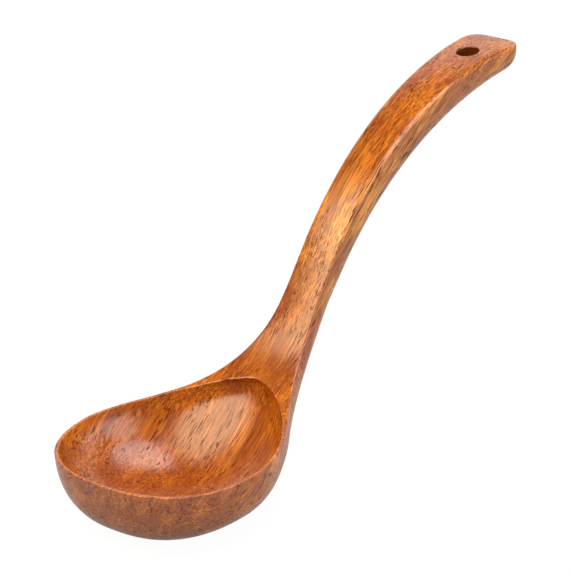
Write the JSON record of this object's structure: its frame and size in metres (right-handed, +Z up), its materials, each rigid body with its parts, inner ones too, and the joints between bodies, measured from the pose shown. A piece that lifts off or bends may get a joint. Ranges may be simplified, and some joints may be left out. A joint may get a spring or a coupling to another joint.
{
  "type": "soup ladle",
  "caption": "Carved wooden soup ladle with a round deep bowl, a level thin rim, an arched handle and a squared end with a hanging hole.",
  "frame": {"origin": "on the ground under the lowest point's level, midway along the ladle's length and width, with the bowl's rim level", "axes": "+X from the bowl towards the hanging end, +Y across the bowl to the left, +Z up out of the bowl, square to its rim"},
  "size_m": [0.2599, 0.092, 0.1215],
  "materials": {
    "wood": "clear satin lacquer over reddish brown open-pored wood, grain along the ladle"
  },
  "bodies": {
    "root": {"bowl": "wood", "neck": "wood", "handle": "wood", "handle_end": "wood"}
  },
  "joints": []
}
